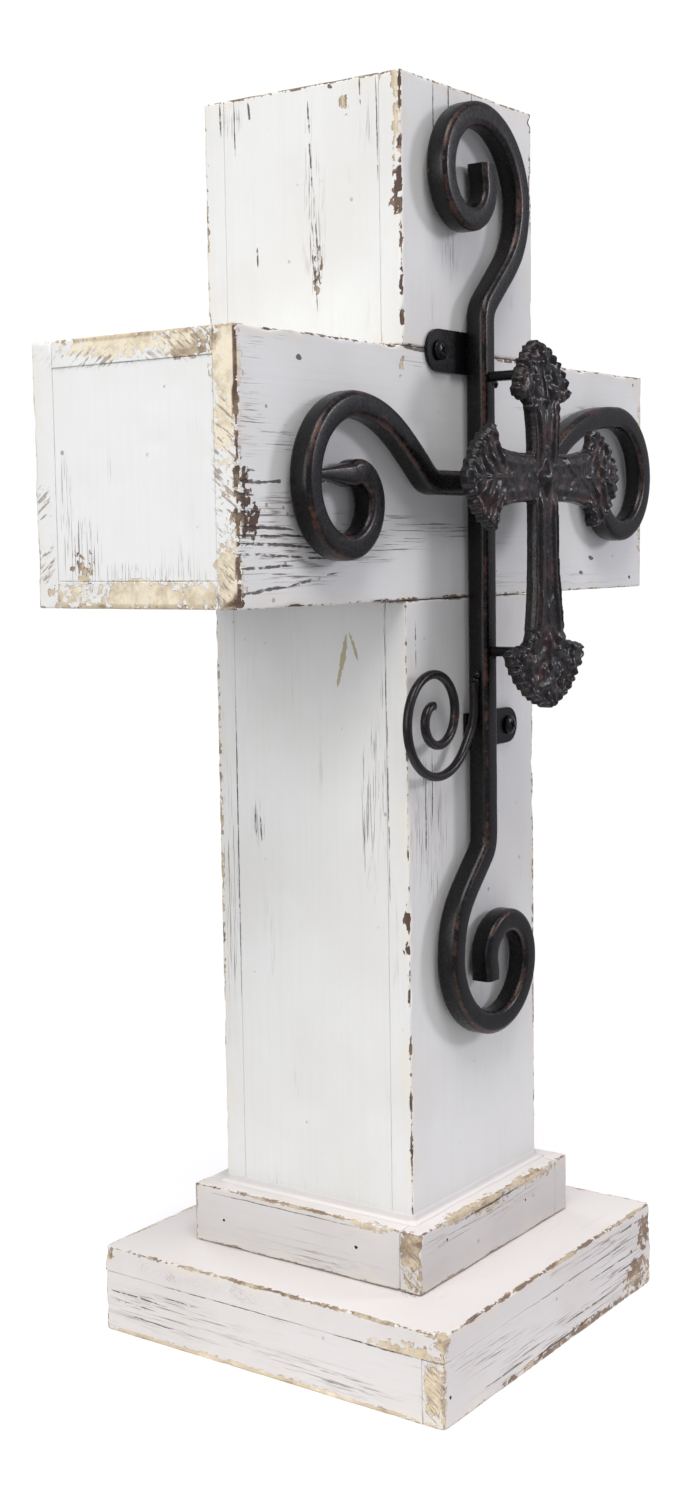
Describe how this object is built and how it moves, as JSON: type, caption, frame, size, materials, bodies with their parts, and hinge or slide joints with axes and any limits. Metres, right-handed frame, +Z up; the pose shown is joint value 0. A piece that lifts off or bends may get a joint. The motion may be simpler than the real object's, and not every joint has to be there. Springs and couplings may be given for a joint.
{
  "type": "standing cross",
  "caption": "Box-built painted wood standing cross on a two-tier plinth, with wrought iron scrolls and a cast iron leaf cross held out in front of the crossing",
  "frame": {"origin": "centre of the plinth's underside", "axes": "+Z up along the post, -Y the front with the ironwork, +X to the right of someone who faces the front"},
  "size_m": [0.317, 0.178, 0.5315],
  "materials": {
    "post_paint": "chalky white paint on softwood, worn and chipped to bare wood along the edges, with dark cracks and grain",
    "crossbar_paint": "chalky white paint on softwood, rubbed to ochre bare wood on the end boards, with long grain checks",
    "plinth_paint": "pinkish white paint with tan worn top edges and bare end grain",
    "wrought_iron": "near-black satin lacquer with bronze and rust rubs on the edges",
    "screw_iron": "black pan-head screws",
    "cast_iron": "dark brown-black casting, slightly glossy, with reddish rust in the highlights"
  },
  "bodies": {
    "root": {"base_front": "plinth_paint", "base_right": "plinth_paint", "base_back": "plinth_paint", "base_left": "plinth_paint", "base_top": "plinth_paint", "step_front": "plinth_paint", "step_right": "plinth_paint", "step_back": "plinth_paint", "step_left": "plinth_paint", "lower_post_front": "post_paint", "lower_post_back": "post_paint", "lower_post_left": "post_paint", "lower_post_right": "post_paint", "upper_post_front": "post_paint", "upper_post_back": "post_paint", "upper_post_left": "post_paint", "upper_post_right": "post_paint", "upper_post_cap": "post_paint", "crossbar_front": "crossbar_paint", "crossbar_back": "crossbar_paint", "crossbar_top": "crossbar_paint", "crossbar_bottom": "crossbar_paint", "crossbar_end_left": "crossbar_paint", "crossbar_end_right": "crossbar_paint", "scroll_upright": "wrought_iron", "scroll_left": "wrought_iron", "scroll_right": "wrought_iron", "wire_scroll": "wrought_iron", "strap_upper": "wrought_iron", "strap_lower": "wrought_iron", "pin_upper": "wrought_iron", "pin_lower": "wrought_iron", "screw_upper": "screw_iron", "screw_lower": "screw_iron", "cast_cross": "cast_iron"}
  },
  "joints": []
}
